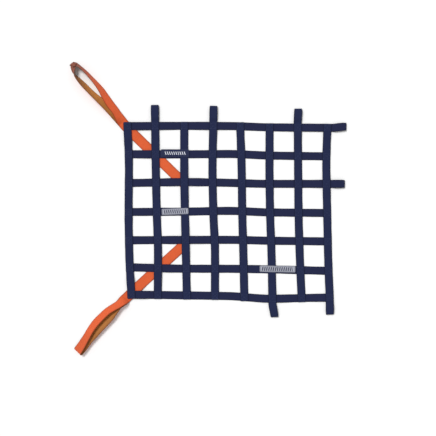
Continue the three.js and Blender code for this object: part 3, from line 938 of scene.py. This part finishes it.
def patch_material(name, node, ground, ink, bars, outlined, roughness):
    """A woven patch in its ground colour, with its pattern in the ink's colour."""
    length, width = PATCHES[node][4:6]
    shader = Shader(name)
    across, along = shader.uv()
    height = weave_height(shader, across, along, PATCH_COLUMN_WIDTH, PATCH_BAR_LENGTH)
    pattern = bar_row(shader, across, along, bars)
    if outlined:
        pattern = shader.math("MAXIMUM", pattern, outline(shader, across, along, length, width))
    least, most = INK_COVER
    share = shader.math("MULTIPLY", pattern, shader.math("MULTIPLY_ADD", height, most - least, least))
    uneven = shader.math("MULTIPLY_ADD", shader.noise(*GROUND_NOISE), *GROUND_CHANGE)
    tone = shader.mix(uneven, ground, darker(ground, GROUND_SHADE))
    shader.bump(height, PATCH_WEAVE_DEPTH, PATCH_RELIEF)
    return shader.finish(shader.mix(share, tone, ink), roughness, PATCH_SHEEN)


silver_ink = srgb(48, 50, 72)
silver_ground = srgb(173, 176, 189)
navy_label = patch_material("navy_patch_weave", "patch_navy", srgb(40, 46, 76), srgb(234, 237, 246),
                            NAVY_BARS, outlined=False, roughness=0.7)
silver_middle = patch_material("silver_patch_weave_middle", "patch_silver_middle", silver_ground,
                               silver_ink, MIDDLE_BARS, outlined=True, roughness=0.55)
silver_lower = patch_material("silver_patch_weave_lower", "patch_silver_lower", silver_ground,
                              silver_ink, LOWER_BARS, outlined=True, roughness=0.55)
print("patch materials:", [label.name for label in (navy_label, silver_middle, silver_lower)])

# %% [markdown]
# A patch is stiffer than webbing, but it still follows what it lies on: it runs along the cross strap and
# climbs over the upright strap beside it. It is a band like the straps, only shorter and thinner.

# %% The patches
PATCH_THICKNESS = 1.0
PATCH_STEP = 0.5
PATCH_CLIMB = 4  # length over which a patch climbs onto the upright strap
PATCH_CLIMB_END = 1  # how far before that strap's edge the climb ends


def patch_path(cross, upright, x, y, length, tilt):
    """Middle line and width direction of a patch."""
    slope = math.tan(math.radians(tilt))
    meeting_x, meeting_y = crossing(upright, cross)
    upright_top = height_on(upright_supports(upright), meeting_y, 0) + WEBBING_THICKNESS
    offset = np.arange(-length / 2, length / 2 + PATCH_STEP / 2, PATCH_STEP)
    at = x + offset
    supports = cross_supports(cross)
    cross_top = np.array([height_on(supports, place, 0) for place in at]) + WEBBING_THICKNESS
    climb_start = NAVY_WIDTH / 2 + PATCH_CLIMB_END + PATCH_CLIMB
    climb = ease((climb_start - np.abs(at - meeting_x)) / PATCH_CLIMB)
    under = cross_top * (1 - climb) + upright_top * climb
    line = np.stack([at, y + offset * slope, under + LAYER_GAP + PATCH_THICKNESS / 2], axis=1)
    sides = np.tile([-slope, 1.0, 0.0], (len(at), 1))
    return line, sides


patch_lines = {}
for node, material, slot in [
    ("patch_navy", navy_label, "navy_patch"),
    ("patch_silver_middle", silver_middle, "silver_patch"),
    ("patch_silver_lower", silver_lower, "silver_patch"),
]:
    cross, upright, x, y, length, width, tilt = PATCHES[node]
    line, sides = patch_path(cross, upright, x, y, length, tilt)
    patch_lines[node] = (line, unit(sides), width)
    piece, flat_length = band(f"{node}_woven", line, sides, (width, PATCH_THICKNESS), [material])
    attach(piece, "root")
    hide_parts(node)
    print(piece.name, round(flat_length, 1), "mm long")

# %% [markdown]
# Sewing holds the net together. At every crossing a machine sews a box with a cross in it, through all
# the layers. That makes nearly two thousand stitches, which are best left to Geometry Nodes. The tree
# divides each seam line at the length of a stitch and its gap, puts one small rounded grain on each
# point, turns it along the seam and lays it flat on the webbing. A random scale for each grain keeps
# the thread from looking printed.

# %% A node tree for sewing
STITCH_LENGTH = 2.7  # one stitch, in millimetres
STITCH_GAP = 0.7
THREAD_WIDTH = 0.75
THREAD_HEIGHT = 0.5
GRAIN_SEGMENTS = 6
GRAIN_RINGS = 4
SMALLEST_GRAIN = (0.9, 0.85, 0.9)  # scales of length, width and height
LARGEST_GRAIN = (1.06, 1.1, 1.1)


def add_sockets(tree):
    """Names the tree's inputs and its output."""
    sockets = tree.interface
    sockets.new_socket("Geometry", in_out="INPUT", socket_type="NodeSocketGeometry")
    for label in ("Pitch", "Length", "Width", "Height"):
        sockets.new_socket(label, in_out="INPUT", socket_type="NodeSocketFloat")
    sockets.new_socket("Seed", in_out="INPUT", socket_type="NodeSocketInt")
    sockets.new_socket("Material", in_out="INPUT", socket_type="NodeSocketMaterial")
    sockets.new_socket("Geometry", in_out="OUTPUT", socket_type="NodeSocketGeometry")


def grain(tree, given):
    """A ball of diameter 1, scaled to the length, width and height of a stitch."""
    ball = tree.nodes.new("GeometryNodeMeshUVSphere")
    ball.inputs["Segments"].default_value = GRAIN_SEGMENTS
    ball.inputs["Rings"].default_value = GRAIN_RINGS
    ball.inputs["Radius"].default_value = 0.5
    size = tree.nodes.new("ShaderNodeCombineXYZ")
    for label, axis in (("Length", "X"), ("Width", "Y"), ("Height", "Z")):
        tree.links.new(given[label], size.inputs[axis])
    shape = tree.nodes.new("GeometryNodeTransform")
    tree.links.new(ball.outputs["Mesh"], shape.inputs["Geometry"])
    tree.links.new(size.outputs["Vector"], shape.inputs["Scale"])
    return shape.outputs["Geometry"]


def turn_along_seam(tree):
    """A turn that points the grain along the seam and keeps its height away from the webbing."""
    tangent = tree.nodes.new("GeometryNodeInputTangent")
    ahead = tree.nodes.new("FunctionNodeAlignRotationToVector")
    ahead.axis = "X"
    tree.links.new(tangent.outputs["Tangent"], ahead.inputs["Vector"])
    upward = tree.nodes.new("FunctionNodeAlignRotationToVector")
    upward.axis = "Z"
    upward.pivot_axis = "X"
    normal = tree.nodes.new("GeometryNodeInputNamedAttribute")
    normal.data_type = "FLOAT_VECTOR"
    normal.inputs["Name"].default_value = "up"
    tree.links.new(ahead.outputs["Rotation"], upward.inputs["Rotation"])
    tree.links.new(normal.outputs["Attribute"], upward.inputs["Vector"])
    return upward.outputs["Rotation"]


def random_scale(tree, given):
    """A slightly different scale for each grain."""
    vary = tree.nodes.new("FunctionNodeRandomValue")
    vary.data_type = "FLOAT_VECTOR"
    vary.inputs["Min"].default_value = SMALLEST_GRAIN
    vary.inputs["Max"].default_value = LARGEST_GRAIN
    tree.links.new(given["Seed"], vary.inputs["Seed"])
    return vary.outputs["Value"]


def end_tree(tree, given, instances):
    """Makes the grains real, smooths them and gives them the thread's material."""
    real = tree.nodes.new("GeometryNodeRealizeInstances")
    tree.links.new(instances, real.inputs["Geometry"])
    smooth = tree.nodes.new("GeometryNodeSetShadeSmooth")
    tree.links.new(real.outputs["Geometry"], smooth.inputs["Geometry"])
    paint = tree.nodes.new("GeometryNodeSetMaterial")
    tree.links.new(smooth.outputs["Geometry"], paint.inputs["Geometry"])
    tree.links.new(given["Material"], paint.inputs["Material"])
    output = tree.nodes.new("NodeGroupOutput")
    tree.links.new(paint.outputs["Geometry"], output.inputs["Geometry"])


def stitch_tree():
    """A node tree that lays stitches along the edges of a mesh."""
    tree = bpy.data.node_groups.new("stitches_along_seams", "GeometryNodeTree")
    add_sockets(tree)
    given = tree.nodes.new("NodeGroupInput").outputs
    curve = tree.nodes.new("GeometryNodeMeshToCurve")
    tree.links.new(given["Geometry"], curve.inputs["Mesh"])
    resample = tree.nodes.new("GeometryNodeResampleCurve")
    resample.mode = "LENGTH"
    tree.links.new(curve.outputs["Curve"], resample.inputs["Curve"])
    tree.links.new(given["Pitch"], resample.inputs["Length"])
    lay = tree.nodes.new("GeometryNodeInstanceOnPoints")
    tree.links.new(resample.outputs["Curve"], lay.inputs["Points"])
    tree.links.new(grain(tree, given), lay.inputs["Instance"])
    tree.links.new(turn_along_seam(tree), lay.inputs["Rotation"])
    tree.links.new(random_scale(tree, given), lay.inputs["Scale"])
    end_tree(tree, given, lay.outputs["Instances"])
    return tree


STITCHES = stitch_tree()
print("nodes in the sewing tree:", len(STITCHES.nodes))

# %% [markdown]
# To sew, we draw the seam lines as a mesh of bare edges, give it the tree as a modifier, and set the
# tree's inputs by their identifiers. The result is then turned into a plain mesh, so nothing live is left.

# %% Sew along seam lines
THREAD_NOISE = (700, 2)
THREAD_SHADE = 0.55  # brightness in the hollows of the thread
THREAD_ROUGHNESS = 0.5
THREAD_SHEEN = 0.1


def thread_material(name, colour):
    """Thread with a fine, uneven tone."""
    shader = Shader(name)
    tone = shader.mix(shader.noise(*THREAD_NOISE), colour, darker(colour, THREAD_SHADE))
    return shader.finish(tone, THREAD_ROUGHNESS, THREAD_SHEEN)


def seam_lines(name, seams):
    """An object of bare edges along the seams, each a list of points in millimetres."""
    points, edges = [], []
    for seam in seams:
        first = len(points)
        points += [tuple(np.asarray(point, float) * MM) for point in seam]
        edges += [(first + i, first + i + 1) for i in range(len(seam) - 1)]
    mesh = bpy.data.meshes.new(f"{name}_lines")
    mesh.from_pydata(points, edges, [])
    up = mesh.attributes.new("up", "FLOAT_VECTOR", "POINT")
    up.data.foreach_set("vector", [0.0, 0.0, 1.0] * len(points))
    lines = bpy.data.objects.new(f"{name}_lines", mesh)
    bpy.context.collection.objects.link(lines)
    return lines


def lay_stitches(lines, material, seed, scale):
    """Runs the sewing tree on seam lines and returns the stitches as a plain mesh."""
    modifier = lines.modifiers.new("stitches", "NODES")
    modifier.node_group = STITCHES
    values = {
        "Pitch": (STITCH_LENGTH + STITCH_GAP) * scale * MM,
        "Length": STITCH_LENGTH * scale * MM,
        "Width": THREAD_WIDTH * scale * MM,
        "Height": THREAD_HEIGHT * scale * MM,
        "Seed": seed,
        "Material": material,
    }
    for socket in STITCHES.interface.items_tree:
        if socket.item_type == "SOCKET" and socket.name in values:
            modifier[socket.identifier] = values[socket.name]
    bpy.context.view_layer.update()
    evaluated = lines.evaluated_get(bpy.context.evaluated_depsgraph_get())
    return bpy.data.meshes.new_from_object(evaluated)


def sew(name, seams, material, seed, scale=1.0):
    """Lays stitches of one thread along seams, as one piece of the net."""
    lines = seam_lines(name, seams)
    stitches = lay_stitches(lines, material, seed, scale)
    stitches.name = name
    bpy.data.objects.remove(lines)
    piece = bpy.data.objects.new(name, stitches)
    bpy.context.collection.objects.link(piece)
    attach(piece, "root")
    print(name, len(stitches.polygons), "faces")


print("one stitch:", STITCH_LENGTH, "mm long, then a gap of", STITCH_GAP, "mm")

# %% [markdown]
# Each crossing gets its box and cross, a little smaller than the square where the two straps overlap, and
# turned to run with the upright strap.

# %% Sewing at the crossings
BOX_HALF = 6.8  # half the side of the sewn box
SEAM_LIFT = 0.02  # how far the middle of the thread lies above the webbing
CROSSING_SEED = 11


def box_and_cross(centre, ahead, height):
    """Seam lines of a sewn box with a cross in it, turned to run with a strap."""
    ahead = unit(np.array(ahead, float))
    side = np.array([-ahead[1], ahead[0]])
    corner = {}
    for a in (-1, 1):
        for b in (-1, 1):
            place = np.array(centre) + ahead * a * BOX_HALF + side * b * BOX_HALF
            corner[a, b] = (*place, height)
    around = [corner[-1, -1], corner[1, -1], corner[1, 1], corner[-1, 1], corner[-1, -1]]
    box = [[around[i], around[i + 1]] for i in range(4)]
    return box + [[corner[-1, -1], corner[1, 1]], [corner[-1, 1], corner[1, -1]]]


navy_thread = thread_material("navy_thread", srgb(58, 68, 108))
crossing_seams = []
for upright in range(1, len(UPRIGHTS) + 1):
    supports = upright_supports(upright)
    for cross in range(1, len(CROSS_STRAPS) + 1):
        x, y = crossing(upright, cross)
        ahead = (float(upright_x[upright - 1](y + 1)) - x, 1)
        top = height_on(supports, y, 0) + WEBBING_THICKNESS + SEAM_LIFT
        crossing_seams += box_and_cross((x, y), ahead, top)
sew("crossing_stitches", crossing_seams, navy_thread, CROSSING_SEED)

# %% [markdown]
# The patches are sewn down with a finer seam just inside their edges, in thread of their own colour.

# %% Sewing on the patches
PATCH_SEAM_INSET = 1.0
PATCH_STITCH_SCALE = 0.55
NAVY_PATCH_SEED = 21
SILVER_PATCH_SEED = 22


def patch_seams(line, sides, width):
    """Seam lines round a patch, on its top face."""
    top = line + [0, 0, PATCH_THICKNESS / 2 + SEAM_LIFT]
    skipped = round(PATCH_SEAM_INSET / PATCH_STEP)
    inner = top[skipped:-skipped]
    reach = sides[skipped:-skipped] * (width / 2 - PATCH_SEAM_INSET)
    upper, lower = inner + reach, inner - reach
    return [upper.tolist(), lower.tolist(), [upper[0], lower[0]], [upper[-1], lower[-1]]]


navy_seams = patch_seams(*patch_lines["patch_navy"])
silver_seams = patch_seams(*patch_lines["patch_silver_middle"])
silver_seams += patch_seams(*patch_lines["patch_silver_lower"])
silver_thread = thread_material("silver_thread", srgb(150, 152, 166))
sew("navy_patch_stitches", navy_seams, navy_thread, NAVY_PATCH_SEED, PATCH_STITCH_SCALE)
sew("silver_patch_stitches", silver_seams, silver_thread, SILVER_PATCH_SEED,
    PATCH_STITCH_SCALE)

# %% [markdown]
# The floor gets a plain, nearly white material.

# %% Floor material
FLOOR_WHITE = (0.95, 0.95, 0.95, 1.0)
FLOOR_ROUGHNESS = 0.9
floor_data.materials.append(Shader("floor_white").finish(FLOOR_WHITE, FLOOR_ROUGHNESS, 0.0))

bpy.context.view_layer.update()
